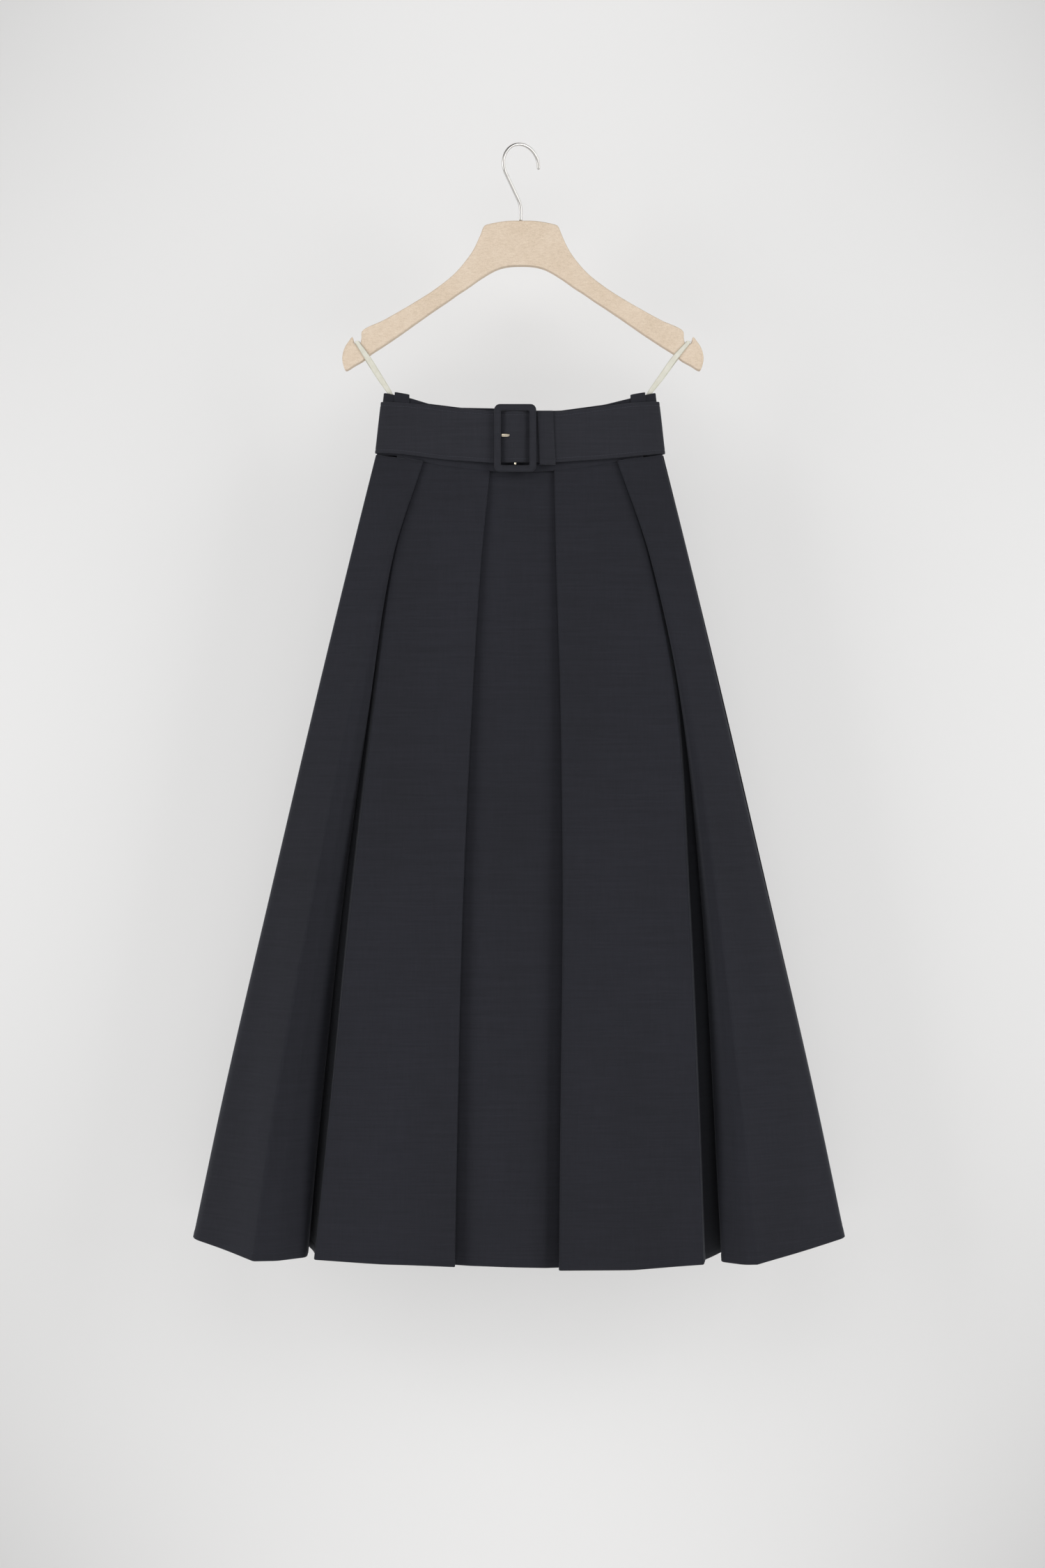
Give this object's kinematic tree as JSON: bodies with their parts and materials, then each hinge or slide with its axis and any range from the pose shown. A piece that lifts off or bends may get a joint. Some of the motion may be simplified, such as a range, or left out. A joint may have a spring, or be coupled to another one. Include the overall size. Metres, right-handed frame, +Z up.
{
  "type": "pleated maxi skirt with belt on a hanger",
  "caption": "Long flared skirt with knife pleats, shaped waistband, wide buckled fabric belt and ribbon loops, hanging from a flat board hanger with a wire hook.",
  "frame": {"origin": "the seat of the hanger's hook, the inner top of its bow, where a rail carries it", "axes": "+Z up, along the hook's shaft; the garment's front faces -Y; the hanger's arms and the waist run along X, the wearer's left at +X"},
  "size_m": [0.7274, 0.1605, 1.2435],
  "materials": {
    "skirt_cloth": "matt fine navy wool",
    "belt_cloth": "matt navy cloth, stiffened",
    "ribbon": "satin ribbon",
    "pressed_board": "pressed fibre board, matt",
    "hook_steel": "plated wire",
    "pale_gold": "polished pale gold"
  },
  "bodies": {
    "root": {"back_center_left": "skirt_cloth", "back_center_right": "skirt_cloth", "back_left": "skirt_cloth", "back_right": "skirt_cloth", "back_side_left": "skirt_cloth", "back_side_right": "skirt_cloth", "front_center": "skirt_cloth", "front_left": "skirt_cloth", "front_right": "skirt_cloth", "side_left": "skirt_cloth", "side_right": "skirt_cloth", "waistband": "skirt_cloth", "carrier_left": "skirt_cloth", "carrier_right": "skirt_cloth", "belt": "belt_cloth", "buckle_frame": "belt_cloth", "keeper": "belt_cloth", "buckle_bar": "pale_gold", "prong": "pale_gold", "ribbon_left": "ribbon", "ribbon_right": "ribbon", "hanger": "pressed_board", "hook": "hook_steel"}
  },
  "joints": []
}
